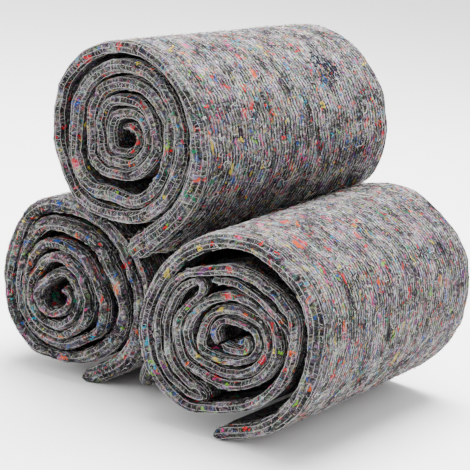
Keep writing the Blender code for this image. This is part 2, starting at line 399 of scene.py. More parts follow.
SECTIONS = {name: band_sections(rows, 10 * seed) for seed, (name, rows) in enumerate(BANDS.items(), 1)}
for name, sections in SECTIONS.items():
    print(name, "sections", len(sections["points"]), "band length mm", round(sections["travel"][-1]))

# %% [markdown]
# ## Laying the rolls on the pile
# The cloth is soft, so a roll goes flat where it lies on the ground or on its neighbour.
# Each roll is first shaped on its own, then placed, and last pressed: points near the
# level it lies on move up together, and what would still pass the level is stopped there.

# %% Placing and pressing
PLACING = {
    # near end of the axis, heading and dip in degrees, growth of the far end, clock centre
    "right": ((116.6, -217.0, 123.4), (-0.1, 0.7), 1.035, (0.0, -6.0)),
    "left": ((-116.6, -167.5, 110.0), (1.4, 0.0), 1.0, (-14.0, -12.0)),
    "top": ((-64.0, -185.9, 301.2), (-7.1, -1.1), 1.045, (-6.0, -12.0)),
}
GROUND_DROP = {"right": 2.2871, "left": 2.0236}
GROUND_SINK = 4.0
SQUEEZE_REACH = 45.0
FLAT_SHARE = 0.5
TOP_FROM_RIGHT = np.array((-0.7, 0.0, 0.715))
TOP_FROM_RIGHT /= np.linalg.norm(TOP_FROM_RIGHT)
TOUCH_LEVEL = 111.6773
TOUCH_DEPTH = 15.2746
TOUCH_GAP = 0.2


def squeeze(places, normal, level, depth, least):
    """Press points against a flat level."""
    height = places @ normal - level
    near = height < SQUEEZE_REACH
    shrink = (SQUEEZE_REACH + depth * FLAT_SHARE) / (SQUEEZE_REACH + depth)
    pressed = np.where(near, SQUEEZE_REACH - (SQUEEZE_REACH - height) * shrink, height)
    pressed = np.maximum(pressed, least)
    return places + np.outer(pressed - height, normal)


def settle(name, places):
    """Move points of a roll from its own frame, in millimetres, onto the pile, in metres."""
    axis, turn, growth, clock = PLACING[name]
    places = places + np.array((clock[0], 0.0, clock[1]))
    wider = 1 + (growth - 1) * places[:, 1] / BAND_LENGTH
    places[:, 0] *= wider
    places[:, 2] *= wider
    heading, dip = (math.radians(angle) for angle in turn)
    along = np.array((-math.sin(heading) * math.cos(dip), math.cos(heading) * math.cos(dip), math.sin(dip)))
    across = np.array((math.cos(heading), math.sin(heading), 0.0))
    up = np.cross(across, along)
    places = places @ np.array((across, along, up)) + np.array(axis)
    if name in GROUND_DROP:
        places[:, 2] -= GROUND_DROP[name]
        places = squeeze(places, np.array((0.0, 0.0, 1.0)), 0.0, GROUND_SINK, 0.0)
    if name == "top":
        places = squeeze(places, TOP_FROM_RIGHT, TOUCH_LEVEL, TOUCH_DEPTH, TOUCH_GAP)
    if name == "right":
        places = squeeze(places, -TOP_FROM_RIGHT, -TOUCH_LEVEL, TOUCH_DEPTH, TOUCH_GAP)
    return (places - PILE_CENTRE) * MM


# %% [markdown]
# ## The folded section of the band
# The blanket is 1.37 m wide and folded in half twice, so the band has four plies. Seen
# from the near end, the middle fold wraps round the quarter fold like one book cover
# round another. That makes the fat rounded nose the photograph shows. The other end has
# one fold and two loose edges. The section below follows that one strip of cloth and
# then gives it a thickness.

# %% One section of four plies
ARC_BIG = np.linspace(-90, 90, 25)
ARC_SMALL = np.linspace(90, -90, 7)
ARC_FAR = np.linspace(-90, 90, 7)
RUN = np.array((0.0, 0.015, 0.03, 0.05, 0.1, 0.2, 0.35, 0.5, 0.65, 0.8, 0.9, 0.96, 1.0))
INNER_RUN = np.array((0.0, 0.03, 0.1, 0.3, 0.65, 0.96, 1.0))
HIDDEN_RUN = np.array((0.0, 0.3, 0.7, 1.0))
PLY_SHARE = 0.46
EDGE_BACK = 3.0
FAR_HALF = 11.0
ROW_PITCH = 5.0
PUCKER = 0.55
CRUMPLE = 1.0
MOST_SINK = 0.3
DENT_LENGTHS = (47.0, 31.0, 23.0, 17.0, 13.0, 11.0)
DENT_SEED = 8
DENT_LEVEL = 2.2
SECOND_FACE = 2000.0
# height, place along the roll and width, in millimetres
CUFF_SWELL = (4.0, 6, 9)
CUFF_PINCH = (5.0, 24, 8)
CUFF_LENGTH = {"top": 140.0}
CUFF_FADE = 15
FOLD_GAP = 0.4
NOSE_REACH = 16.0
FADE = 4
END_SEEN = 12
END_SHARE = 0.5


def ply_path(half, near, far):
    """Middle line of the cloth across the band: (across, along the roll) in millimetres."""
    pitch = half / 2
    big = 1.5 * pitch
    small = 0.5 * pitch
    start = -near
    end = BAND_LENGTH + far
    thick = half * PLY_SHARE
    big_y = start + thick / 2 + big
    small_y = start + thick + FOLD_GAP + thick / 2 + small
    far_y = end - thick / 2 - small
    path = []
    for t in HIDDEN_RUN[::-1]:
        path.append((small, small_y + (end - EDGE_BACK - small_y) * t))
    for angle in np.radians(ARC_SMALL)[1:-1]:
        path.append((small * math.sin(angle), small_y - small * math.cos(angle)))
    for t in HIDDEN_RUN:
        path.append((-small, small_y + (far_y - small_y) * t))
    for angle in np.radians(ARC_FAR)[1:-1]:
        path.append((-pitch - small * math.sin(angle), far_y + small * math.cos(angle)))
    for t in INNER_RUN[::-1]:
        path.append((-big, big_y + (far_y - big_y) * t))
    nose = len(path) + len(ARC_BIG) // 2 - 1
    for angle in np.radians(ARC_BIG)[1:-1]:
        path.append((big * math.sin(angle), big_y - big * math.cos(angle)))
    for t in RUN:
        path.append((big, big_y + (end - EDGE_BACK - big_y) * t))
    return np.array(path), thick, nose


def thick_ring(path, thick):
    """Closed outline of a strip of cloth round its middle line."""
    side = side_directions(path) * thick / 2
    return np.vstack((path + side, (path - side)[::-1]))


def loft_rings(rings):
    """Quads between one ring and the next, and a fan over each end."""
    count, size = rings.shape[:2]
    faces = []
    for row in range(count - 1):
        a = row * size
        b = a + size
        for index in range(size):
            after = (index + 1) % size
            faces.append((a + index, a + after, b + after, b + index))
    half = size // 2
    for base in (0, (count - 1) * size):
        for index in range(half - 1):
            faces.append((base + index, base + index + 1, base + size - 2 - index, base + size - 1 - index))
    return faces


def crumple(travel, reach):
    """Uneven dents of the cloth, between 0 and 1."""
    draw = np.random.default_rng(DENT_SEED)
    total = np.zeros(len(reach))
    for length in DENT_LENGTHS:
        heading = draw.uniform(0, math.pi)
        turn = 2 * math.pi / length
        place = travel * math.cos(heading) + reach * math.sin(heading)
        total += np.sin(turn * place + draw.uniform(0, 6))
    return 0.5 + 0.5 * np.clip(total / DENT_LEVEL, -1, 1)


def cuff(place):
    """Outline of the swollen fold and the pinch behind it, by place along the roll."""
    swell, pinch = (height * np.exp(-((place - middle) / width) ** 2)
                    for height, middle, width in (CUFF_SWELL, CUFF_PINCH))
    return swell - pinch


def cloth_rings(sections, cuff_length=0.0):
    """Rings of a wound band in the roll's own frame, cloth coordinates and masks."""
    puffed = np.clip((cuff_length - sections["travel"][-1] + sections["travel"]) / CUFF_FADE, 0, 1)
    rings = []
    marks = []
    outside = []
    in_sight = []
    for index, point in enumerate(sections["points"]):
        out = sections["outer"][index]
        into = sections["inner"][index]
        half = (out + into) / 2
        path, thick, nose = ply_path(half, sections["near"][index], sections["far"][index])
        reach = travel_along(path)
        reach = reach - reach[nose] + sections["drift"][index]
        ring = thick_ring(path, thick)
        sink = PUCKER * (0.5 - 0.5 * np.cos(2 * math.pi * reach / ROW_PITCH)) ** 2
        sink += CRUMPLE * crumple(sections["travel"][index], reach)
        sink = np.minimum(sink, thick * MOST_SINK)
        pull = side_directions(path) * sink[:, None]
        ring[:len(path)] -= pull
        ring[len(path):] += pull[::-1]
        slimmer = min(half, FAR_HALF) / half
        share = np.clip(ring[:, 1] / BAND_LENGTH, 0, 1)
        across = ring[:, 0] * (1 + (slimmer - 1) * share) + (out - into) / 2
        across += puffed[index] * cuff(ring[:, 1]) * np.clip(ring[:, 0] / half, 0, 1)
        side = sections["sides"][index]
        x = point[0] + side[0] * across
        z = point[1] + side[1] * across
        rings.append(np.column_stack((x, ring[:, 1], z)))
        marks.append(np.concatenate((reach, reach[::-1] + SECOND_FACE)))
        body = np.clip((reach - NOSE_REACH) / NOSE_REACH, 0, 1) * sections["shown"][index]
        nose_part = np.clip((NOSE_REACH + FADE - abs(reach)) / FADE, 0, 1)
        end_part = END_SHARE * np.clip((path[:, 1] - BAND_LENGTH + END_SEEN) / FADE, 0, 1)
        hidden = np.zeros(len(reach))
        outside.append(np.concatenate((hidden, body[::-1])))
        in_sight.append(np.concatenate((hidden, np.max((body, nose_part, end_part), axis=0)[::-1])))
    return np.array(rings), np.array(marks), np.array((outside, in_sight))


# %% [markdown]
# ## Making the three cloths
# The rings are joined into one closed mesh a roll. The mesh keeps cloth coordinates as
# its UV map, in metres: how far along the band and how far across the cloth. So stitches
# and fibres can follow the cloth round every fold.

# %% Felt meshes
LOOSE_MARK = 1900.0
LOOSE_SEED = 90
GROUND_CLEAR = 2.0


def cloth_object(name, parts):
    """One mesh object from lofted parts, each given as places, marks, masks and travel."""
    vertices = []
    faces = []
    uv = []
    shown = []
    for places, marks, masks, travel in parts:
        base = sum(len(v) for v in vertices)
        count, size = marks.shape
        rings = places.reshape(count, size, 3)
        faces += [tuple(base + corner for corner in face) for face in loft_rings(rings)]
        vertices.append(places)
        run = np.repeat(travel[:, None], size, axis=1)
        uv.append(np.column_stack((run.ravel(), marks.ravel())) * MM)
        shown.append(masks.reshape(2, -1) * np.clip(places[:, 2] / MM - GROUND_CLEAR, 0, 1))
    vertices = np.vstack(vertices)
    uv = np.vstack(uv)
    mesh = bpy.data.meshes.new(name)
    mesh.from_pydata(vertices.tolist(), [], faces)
    layer = mesh.uv_layers.new(name="cloth")
    corners = np.empty(len(mesh.loops), dtype=np.int32)
    mesh.loops.foreach_get("vertex_index", corners)
    layer.data.foreach_set("uv", uv[corners].astype(np.float32).ravel())
    for label, values in zip(("outside", "in_sight"), np.hstack(shown).astype(np.float32)):
        mesh.attributes.new(label, "FLOAT", "POINT").data.foreach_set("value", values)
    work = bmesh.new()
    work.from_mesh(mesh)
    bmesh.ops.recalc_face_normals(work, faces=work.faces)
    work.to_mesh(mesh)
    work.free()
    mesh.shade_smooth()
    return add_object(name, mesh)


felts = {}
cloths = {}
for name, sections in SECTIONS.items():
    bands = [sections]
    bands += [band_sections(rows, LOOSE_SEED + order) for order, rows in enumerate(LOOSE_BANDS[name], 1)]
    parts = []
    cloths[name] = []
    for order, band in enumerate(bands):
        rings, marks, masks = cloth_rings(band, 0.0 if order else CUFF_LENGTH.get(name, 0.0))
        places = settle(name, rings.reshape(-1, 3))
        parts.append((places, marks, masks, band["travel"] + LOOSE_MARK * order))
        cloths[name].append((places, marks, band))
    felts[name] = cloth_object("felt_" + name, parts)
    print(name, "vertices", len(felts[name].data.vertices), "faces", len(felts[name].data.polygons))

# %% [markdown]
# ## Felt
# The padding is needled felt of shredded textiles. Short fibres of every colour read
# together as grey, with near black and near white bits and a few clear colours in it.
# The pattern is worked out on the cloth coordinates, so it bends round every fold: long
# fibres wander over the cloth, painted shade darkens the furrows between the rows of
# stitching, the outside of the roll is paler than the folded ends, partly pale nap and
# partly painted light, and coloured wisps are blown-up cells with torn edges.

# %% Node helpers
MILLI = 1000.0


def feed(tree, socket, value):
    """Link a socket to an input, or write a plain value there."""
    if isinstance(value, bpy.types.NodeSocket):
        tree.links.new(value, socket)
    else:
        socket.default_value = value


def node(tree, kind, settings=None, **inputs):
    """Add a node, set its properties, and fill or link its inputs by name."""
    item = tree.nodes.new(kind)
    for key, value in (settings or {}).items():
        setattr(item, key, value)
    for key, value in inputs.items():
        feed(tree, item.inputs[key.replace("_", " ")], value)
    return item


def maths(tree, operation, *values, kind="ShaderNodeMath"):
    """One sum on one to three numbers or sockets."""
    item = node(tree, kind, {"operation": operation})
    for socket, value in zip(item.inputs, values):
        feed(tree, socket, value)
    return item.outputs[0]


vector_maths = partial(maths, kind="ShaderNodeVectorMath")


def ramp(tree, source, stops, interpolation="LINEAR"):
    """Colour ramp from a table of position and grey or colour."""
    item = tree.nodes.new("ShaderNodeValToRGB")
    item.color_ramp.interpolation = interpolation
    elements = item.color_ramp.elements
    while len(elements) < len(stops):
        elements.new(0.5)
    for element, (position, colour) in zip(elements, stops):
        element.position = position
        element.color = (colour, colour, colour, 1.0) if isinstance(colour, float) else (*colour, 1.0)
    tree.links.new(source, item.inputs["Fac"])
    return item.outputs["Color"]


def mix(tree, share, first, second, blend="MIX"):
    """Mix two colours."""
    item = node(tree, "ShaderNodeMix", {"data_type": "RGBA", "blend_type": blend})
    for index, value in ((0, share), (6, first), (7, second)):
        feed(tree, item.inputs[index], value)
    return item.outputs[2]


def noise(tree, place, scale, detail=3.0, rough=0.55, distort=0.0):
    """Noise on a place in millimetres that is first stretched."""
    scaled = vector_maths(tree, "MULTIPLY", place, scale)
    item = node(tree, "ShaderNodeTexNoise", None, Vector=scaled, Scale=1.0, Detail=detail, Roughness=rough,
                Distortion=distort)
    return item.outputs["Fac"]


def stored(tree, name):
    """Number that the mesh carries under a name."""
    return node(tree, "ShaderNodeAttribute", {"attribute_name": name}).outputs["Fac"]


def plain_material(name, roughness, specular=None):
    """New material with its node tree and shader."""
    material = bpy.data.materials.new(name)
    material.use_nodes = True
    shader = material.node_tree.nodes["Principled BSDF"]
    shader.inputs["Roughness"].default_value = roughness
    if specular is not None:
        shader.inputs["Specular IOR Level"].default_value = specular
    return material, material.node_tree, shader


print("node helpers ready")

# %% [markdown]
# The yarn colours come from a short table, brightest first. The same table dyes the
# wisps in the felt, the tufts and the loose fibres.

# %% Felt material
YARN = (
    # upper end of the share, linear colour
    (0.24, (0.70, 0.004, 0.012)),
    (0.34, (0.80, 0.10, 0.005)),
    (0.44, (0.74, 0.58, 0.05)),
    (0.51, (0.005, 0.25, 0.12)),
    (0.56, (0.22, 0.60, 0.01)),
    (0.67, (0.01, 0.09, 0.42)),
    (0.76, (0.01, 0.36, 0.55)),
    (0.85, (0.70, 0.05, 0.28)),
    (0.93, (0.011, 0.013, 0.026)),
    (1.00, (0.18, 0.01, 0.20)),
)
FELT_GREY = (
    # noise value, linear grey
    (0.32, 0.016),
    (0.44, 0.055),
    (0.53, 0.125),
    (0.63, 0.26),
    (0.78, 0.62),
)
FELT_DIM = (0.52, 0.52, 0.52, 1.0)
FELT_ROUGHNESS = 0.92
FELT_SPECULAR = 0.05
# scales are waves a millimetre, along the band and across the cloth
ROLL_APART = 37.0
BEND_SCALE = 0.09
BEND_REACH = (16.0, 16.0, 0.0)
FIBRE_SCALES = ((0.20, 0.52, 1.0), (0.52, 0.22, 1.0))
PATCH_SCALE = (0.035, 0.05, 1.0)
GRAIN_GAIN = 2.05
GRAIN_LEVEL = 0.485
PATCH_GAIN = 0.75
# felt on the outside of the roll is made paler than on the folded ends: partly pale nap, partly painted light
OUTSIDE_NAP_AND_LIGHT = 0.055
FURROW_FROM = 1.25
FURROW_FADE = 0.5
BREAK_SCALE = (0.07, 0.3, 1.0)
BREAK_LEVEL = 0.33
BREAK_GAIN = 5.0
# painted shade in the furrows between stitch rows: its strength inside and outside the roll, and its colour
FURROW_SHADE_STRENGTH = (0.48, 0.46)
FURROW_SHADE_COLOUR = (0.004, 0.004, 0.005, 1.0)
FURROW_HEIGHT = 0.25
HUE_SCALE = 0.22
HUE_GAIN = 2.1
HUE_LEVEL = (-0.01, -0.08, -0.05)
SCRIBBLE_SCALE = (0.16, 0.16, 1.0)
SCRIBBLE_PATCH = (0.06, 0.06, 1.0)
SCRIBBLE_WIDTH = 0.014
SCRIBBLE_SHARE = (0.75, 0.25)
SCRIBBLE_STRENGTH = 0.8
SCRIBBLE_COLOUR = (0.62, 0.61, 0.60, 1.0)
WISPS = (
    # scale, share of the cells, how far a wisp reaches in its cell
    ((0.19, 0.38, 1.0), 0.14, 0.46),
    ((0.075, 0.12, 1.0), 0.035, 0.40),
    ((0.055, 0.16, 1.0), 0.03, 0.36),
)
WISP_OUTSIDE = 0.8
WISP_INSIDE = 0.7
WISP_TEAR = 1.1
WISP_BEND = (0.35, 0.35, 0.0)
WISP_STRENGTH = 0.62
RELIEF = 0.7
RELIEF_DEPTH = 0.0012


def yarn_stops():
    """The yarn table as stops of a stepped ramp."""
    starts = [0.0] + [row[0] for row in YARN[:-1]]
    return [(start, colour) for start, (end, colour) in zip(starts, YARN)]


def lines_of(tree, value, width):
    """Thin lines where a noise passes its middle."""
    away = maths(tree, "ABSOLUTE", maths(tree, "SUBTRACT", value, 0.5))
    return maths(tree, "MAXIMUM", maths(tree, "SUBTRACT", 1.0, maths(tree, "DIVIDE", away, width)), 0.0)


def wisps(tree, wander, bent, along, outside, colour):
    """Coloured wisps over a colour: torn cells, a share of them dyed from the yarn table."""
    do, move = partial(maths, tree), partial(vector_maths, tree)
    tear = do("MULTIPLY", do("SUBTRACT", along, 0.5), WISP_TEAR)
    place = move("ADD", wander, move("MULTIPLY", bent, WISP_BEND))
    for scale, share, edge in WISPS:
        cell = node(tree, "ShaderNodeTexVoronoi", None, Vector=move("MULTIPLY", place, scale), Scale=1.0)
        pick = node(tree, "ShaderNodeSeparateColor", None, Color=cell.outputs["Color"])
        common = do("MULTIPLY_ADD", outside, share * WISP_OUTSIDE, share * WISP_INSIDE)
        chosen = do("LESS_THAN", pick.outputs["Red"], common)
        inside = do("LESS_THAN", do("ADD", cell.outputs["Distance"], tear), edge)
        dye = ramp(tree, pick.outputs["Green"], yarn_stops(), "CONSTANT")
        wisp = do("MULTIPLY", do("MULTIPLY", chosen, inside), WISP_STRENGTH)
        colour = mix(tree, wisp, colour, dye)
    return colour


def felt_material(name, seed):
    """Mottled grey felt with wisps of colour."""
    material, tree, shader = plain_material(name, FELT_ROUGHNESS, FELT_SPECULAR)
    do, move = partial(maths, tree), partial(vector_maths, tree)
    uv = node(tree, "ShaderNodeUVMap", {"uv_map": "cloth"}).outputs["UV"]
    place = move("MULTIPLY", uv, (MILLI, MILLI, 0.0))
    place = move("ADD", place, (0.0, 0.0, ROLL_APART * seed))
    outside = stored(tree, "outside")
    # fibres that wander along and across the rows, in pale and dark patches
    bent = node(tree, "ShaderNodeTexNoise", None, Vector=place, Scale=BEND_SCALE, Detail=2.0).outputs["Color"]
    bent = move("MULTIPLY", move("SUBTRACT", bent, (0.5, 0.5, 0.5)), BEND_REACH)
    wander = move("ADD", place, bent)
    along, across = (noise(tree, wander, scale, 4.0, 0.66) for scale in FIBRE_SCALES)
    patch = noise(tree, place, PATCH_SCALE, 2.0)
    grain = do("MULTIPLY_ADD", do("SUBTRACT", mix(tree, 0.5, along, across), 0.5), GRAIN_GAIN, GRAIN_LEVEL)
    grain = do("ADD", grain, do("MULTIPLY", do("SUBTRACT", patch, 0.5), PATCH_GAIN))
    # the outside of the roll is lifted paler than the folded ends: partly pale nap, partly painted light for
    # the lit body against the shaded ends
    grain = do("ADD", grain, do("MULTIPLY", outside, OUTSIDE_NAP_AND_LIGHT))
    colour = ramp(tree, grain, FELT_GREY)
    # broken furrow halfway between two stitch rows, darkened with painted shade
    row = node(tree, "ShaderNodeSeparateXYZ", None, Vector=place).outputs["Y"]
    row = do("PINGPONG", row, ROW_PITCH / 2)
    furrow = do("DIVIDE", do("SUBTRACT", row, FURROW_FROM), FURROW_FADE)
    furrow = do("MINIMUM", do("MAXIMUM", furrow, 0.0), 1.0)
    broken = do("MULTIPLY", do("SUBTRACT", noise(tree, place, BREAK_SCALE, 2.0), BREAK_LEVEL), BREAK_GAIN)
    broken.node.use_clamp = True
    furrow = do("MULTIPLY", furrow, broken)
    furrow_shade = do("MULTIPLY", furrow, do("MULTIPLY_ADD", outside, *FURROW_SHADE_STRENGTH))
    colour = mix(tree, furrow_shade, colour, FURROW_SHADE_COLOUR)
    # faint tint of every tuft of fibres
    hue = node(tree, "ShaderNodeTexNoise", None, Vector=wander, Scale=HUE_SCALE, Detail=2.0, Roughness=0.7)
    hue = move("MULTIPLY_ADD", hue.outputs["Color"], (HUE_GAIN, HUE_GAIN, HUE_GAIN), HUE_LEVEL)
    colour = mix(tree, 1.0, colour, hue, "MULTIPLY")
    # pale scribbles of loosened thread
    scribble = lines_of(tree, noise(tree, wander, SCRIBBLE_SCALE, 2.0, 0.6, 0.6), SCRIBBLE_WIDTH)
    scribble = do("MULTIPLY", scribble, do("GREATER_THAN", noise(tree, place, SCRIBBLE_PATCH), 0.5))
    scribble = do("MULTIPLY", scribble, do("MULTIPLY_ADD", outside, *SCRIBBLE_SHARE))
    colour = mix(tree, do("MULTIPLY", scribble, SCRIBBLE_STRENGTH), colour, SCRIBBLE_COLOUR)
    colour = wisps(tree, wander, bent, along, outside, colour)
    colour = mix(tree, 1.0, colour, FELT_DIM, "MULTIPLY")
    tree.links.new(colour, shader.inputs["Base Color"])
    height = do("SUBTRACT", grain, do("MULTIPLY", furrow, FURROW_HEIGHT))
    relief = node(tree, "ShaderNodeBump", None, Height=height, Strength=RELIEF, Distance=RELIEF_DEPTH)
    tree.links.new(relief.outputs["Normal"], shader.inputs["Normal"])
    return material


for seed, (name, item) in enumerate(felts.items()):
    item.data.materials.append(felt_material("felt_" + name, seed))
print("felt materials on", list(felts))

# %% [markdown]
# ## Strands
# Stitches, ticks, tufts and loose fibres are all short strands: a thin tube along a
# small curve. Each kind is drawn once here with few faces and set down many times.

# %% Strand shapes
STITCH_LENGTH = 4.7
STITCH_OVERLAP = 0.62
STITCH_RADIUS = 0.19
TICK_RADIUS = 0.15
SHAPE_SEED = 4


def strand_mesh(name, paths, radius, sides=3):
    """Mesh of thin tubes along paths in millimetres, pointed at both tips."""
    mesh = bmesh.new()
    for path in paths:
        path = np.array(path, dtype=float)
        along = np.gradient(path, axis=0)
        along /= np.linalg.norm(along, axis=1)[:, None]
        level = np.cross(along, (0.0, 0.0, 1.0))
        level /= np.linalg.norm(level, axis=1)[:, None] + 1e-6
        rise = np.cross(level, along)
        rings = []
        for index in range(1, len(path) - 1):
            ring = []
            for corner in range(sides):
                angle = 2 * math.pi * corner / sides + math.pi / 2
                offset = level[index] * math.cos(angle) + rise[index] * math.sin(angle)
                ring.append(mesh.verts.new((path[index] + offset * radius) * MM))
            rings.append(ring)
        first, last = (mesh.verts.new(tip * MM) for tip in (path[0], path[-1]))
        for corner in range(sides):
            after = (corner + 1) % sides
            mesh.faces.new((first, rings[0][after], rings[0][corner]))
            mesh.faces.new((last, rings[-1][corner], rings[-1][after]))
            for ring, following in zip(rings, rings[1:]):
                mesh.faces.new((ring[corner], ring[after], following[after], following[corner]))
    bmesh.ops.recalc_face_normals(mesh, faces=mesh.faces)
    data = bpy.data.meshes.new(name)
    mesh.to_mesh(data)
    mesh.free()
    data.shade_smooth()
    return bpy.data.objects.new(name, data)


def wandering(draw, steps, stride, bend, lift):
    """Random walk that stays close to the surface."""
    heading = draw.uniform(0, 2 * math.pi)
    place = np.zeros(3)
    path = [place.copy()]
    for step in range(steps):
        heading += draw.normal(0, bend)
        place = place + stride * np.array((math.cos(heading), math.sin(heading), 0.0))
        place[2] = lift * (0.2 + 0.8 * draw.random())
        path.append(place.copy())
    path = np.array(path)
    return path - path.mean(axis=0) * (1, 1, 0)


half = STITCH_LENGTH * STITCH_OVERLAP
STITCH_PATH = ((-half, 0, 0.0), (-half * 0.6, 0.1, 0.32), (half * 0.6, -0.1, 0.34), (half, 0, 0.0))
TICK_PATH = ((0.1, -2.7, 0.0), (-0.2, -1.4, 0.42), (0.1, 1.4, 0.42), (0, 2.7, 0.0))
WALKS = {
    # strands, steps, stride, bend, lift, radius, spread of the strands
    "tuft": (5, 4, 1.15, 0.9, 0.55, 0.34, (0.8, 0.5)),
    "squiggle": (1, 10, 1.9, 0.8, 0.9, 0.27, None),
    "fibre": (1, 2, 2.5, 0.7, 1.1, 0.2, None),
}


def strand_paths(draw, strands, steps, stride, bend, lift, spread):
    """Wandering paths of one shape, spread a little where there are several."""
    paths = []
    for strand in range(strands):
        path = wandering(draw, steps, stride, bend, lift)
        if spread:
            path = path + (*(draw.normal(0, width) for width in spread), 0)
        paths.append(path)
    return paths


draw = np.random.default_rng(SHAPE_SEED)
shapes = {
    "stitch": [strand_mesh("stitch", [STITCH_PATH], STITCH_RADIUS)],
    "tick": [strand_mesh("tick", [TICK_PATH], TICK_RADIUS)],
}
for kind, (strands, steps, stride, bend, lift, radius, spread) in WALKS.items():
    walk = (strands, steps, stride, bend, lift, spread)
    shapes[kind] = [strand_mesh(kind + mark, strand_paths(draw, *walk), radius) for mark in ("_a", "_b", "_c")]
print("strand triangles", {kind: [sum(len(f.vertices) - 2 for f in item.data.polygons) for item in items]
                           for kind, items in shapes.items()})

# %% [markdown]
# Thread is bleached cotton, a little uneven. Yarn and fibre take their colour from a
# random number that each strand carries.

# %% Thread, yarn and fibre materials
FIBRE_GREYS = ((0.0, 0.42), (0.25, 0.18), (0.42, 0.06), (0.58, 0.012), (0.80, 0.60))
FIBRE_DYED_FROM = 0.90
THREAD_COLOUR = (0.60, 0.585, 0.57, 1.0)
STRAND_ROUGHNESS = 0.8
STRAND_SPECULAR = 0.08
MOTTLE_SCALE = 700.0
MOTTLE = ((0.3, 0.62), (0.7, 1.0))


def strand_material(name, stops=None):
    """Dyed from the strand's own number, or plain thread, with a fine mottle."""
    material, tree, shader = plain_material(name, STRAND_ROUGHNESS, STRAND_SPECULAR)
    colour = ramp(tree, stored(tree, "tint"), stops, "CONSTANT") if stops else THREAD_COLOUR
    spot = node(tree, "ShaderNodeTexCoord").outputs["Object"]
    mottle = node(tree, "ShaderNodeTexNoise", None, Vector=spot, Scale=MOTTLE_SCALE, Detail=2.0)
    worn = ramp(tree, mottle.outputs["Fac"], MOTTLE)
    tree.links.new(mix(tree, 1.0, colour, worn, "MULTIPLY"), shader.inputs["Base Color"])
    return material


fibre_stops = list(FIBRE_GREYS)
fibre_stops += [(FIBRE_DYED_FROM + (1 - FIBRE_DYED_FROM) * start, colour) for start, colour in yarn_stops()]
thread_material = strand_material("stitch_thread")
yarn_material = strand_material("coloured_yarn", yarn_stops())
fibre_material = strand_material("loose_fibre", fibre_stops)
print("strand materials ready")

# %% [markdown]
# ## Setting strands down
# Two node trees do the repeating. The first sets a strand on every given point, lined up
# with the direction and the surface stored there. The second strews strands over the felt
# where the mask says the felt is in sight. Both pick the shape and the size at random
# from a fixed seed, and both end as plain mesh.

# %% Node trees
POINT_INPUTS = (
    ("Smallest", "NodeSocketFloat"),
    ("Largest", "NodeSocketFloat"),
    ("Turn", "NodeSocketFloat"),
    ("Seed", "NodeSocketInt"),
    ("Material", "NodeSocketMaterial"),
)
STREW_INPUTS = (("Density", "NodeSocketFloat"), ("Mask", "NodeSocketString"))


def new_tree(name, extra):
    """Empty node tree with named inputs."""
    tree = bpy.data.node_groups.new(name, "GeometryNodeTree")
    tree.interface.new_socket("Geometry", in_out="INPUT", socket_type="NodeSocketGeometry")
    for label, kind in extra + POINT_INPUTS:
        tree.interface.new_socket(label, in_out="INPUT", socket_type=kind)
    tree.interface.new_socket("Geometry", in_out="OUTPUT", socket_type="NodeSocketGeometry")
    return tree, tree.nodes.new("NodeGroupInput").outputs


def shape_picker(tree, given, count):
    """Join the strand shapes so that one of them can be picked."""
    join = tree.nodes.new("GeometryNodeJoinGeometry")
    for index in range(count):
        shape = node(tree, "GeometryNodeObjectInfo", None, Object=given["Shape %d" % (index + 1)],
                     As_Instance=True)
        tree.links.new(shape.outputs["Geometry"], join.inputs["Geometry"])
    return join.outputs["Geometry"]


def random_number(tree, low, high, seed, offset):
    """Random number that differs from point to point."""
    pick = node(tree, "FunctionNodeRandomValue", None, Seed=maths(tree, "ADD", seed, offset))
    feed(tree, pick.inputs[2], low)
    feed(tree, pick.inputs[3], high)
    return pick.outputs[1]


def finish_tree(tree, given, points, rotation, tint, **choices):
    """Instances, their number for the dye, plain mesh and material."""
    turn = maths(tree, "MULTIPLY", random_number(tree, -1.0, 1.0, given["Seed"], 3), given["Turn"])
    spin = node(tree, "ShaderNodeCombineXYZ", None, Z=turn)
    turned = node(tree, "FunctionNodeRotateRotation", {"rotation_space": "LOCAL"}, Rotation=rotation,
                  Rotate_By=spin.outputs[0])
    size = random_number(tree, given["Smallest"], given["Largest"], given["Seed"], 5)
    placed = node(tree, "GeometryNodeInstanceOnPoints", None, Points=points,
                  Instance=shape_picker(tree, given, SHAPES), Pick_Instance=True, Rotation=turned.outputs[0],
                  Scale=size, **choices)
    dyed = node(tree, "GeometryNodeStoreNamedAttribute", {"data_type": "FLOAT", "domain": "INSTANCE"},
                Geometry=placed.outputs[0], Name="tint", Value=tint)
    plain = node(tree, "GeometryNodeRealizeInstances", None, Geometry=dyed.outputs[0])
    dressed = node(tree, "GeometryNodeSetMaterial", None, Geometry=plain.outputs[0],
                   Material=given["Material"])
    node(tree, "NodeGroupOutput", None, Geometry=dressed.outputs[0])


def point_value(tree, name, kind):
    """Value stored on the points."""
    read = node(tree, "GeometryNodeInputNamedAttribute", {"data_type": kind}, Name=name)
    return read.outputs["Attribute"]


SHAPES = 3
SHAPE_INPUTS = tuple(("Shape %d" % (index + 1), "NodeSocketObject") for index in range(SHAPES))
rows_tree, given = new_tree("strands_on_points", SHAPE_INPUTS)
lined = node(rows_tree, "FunctionNodeAlignRotationToVector", {"axis": "X"},
             Vector=point_value(rows_tree, "along", "FLOAT_VECTOR"))
upright = node(rows_tree, "FunctionNodeAlignRotationToVector", {"axis": "Z", "pivot_axis": "X"},
               Rotation=lined.outputs[0], Vector=point_value(rows_tree, "out", "FLOAT_VECTOR"))
kept = maths(rows_tree, "LESS_THAN", random_number(rows_tree, 0.0, 1.0, given["Seed"], 1),
             point_value(rows_tree, "chance", "FLOAT"))
finish_tree(rows_tree, given, given["Geometry"], upright.outputs[0],
            point_value(rows_tree, "tint", "FLOAT"), Selection=kept)

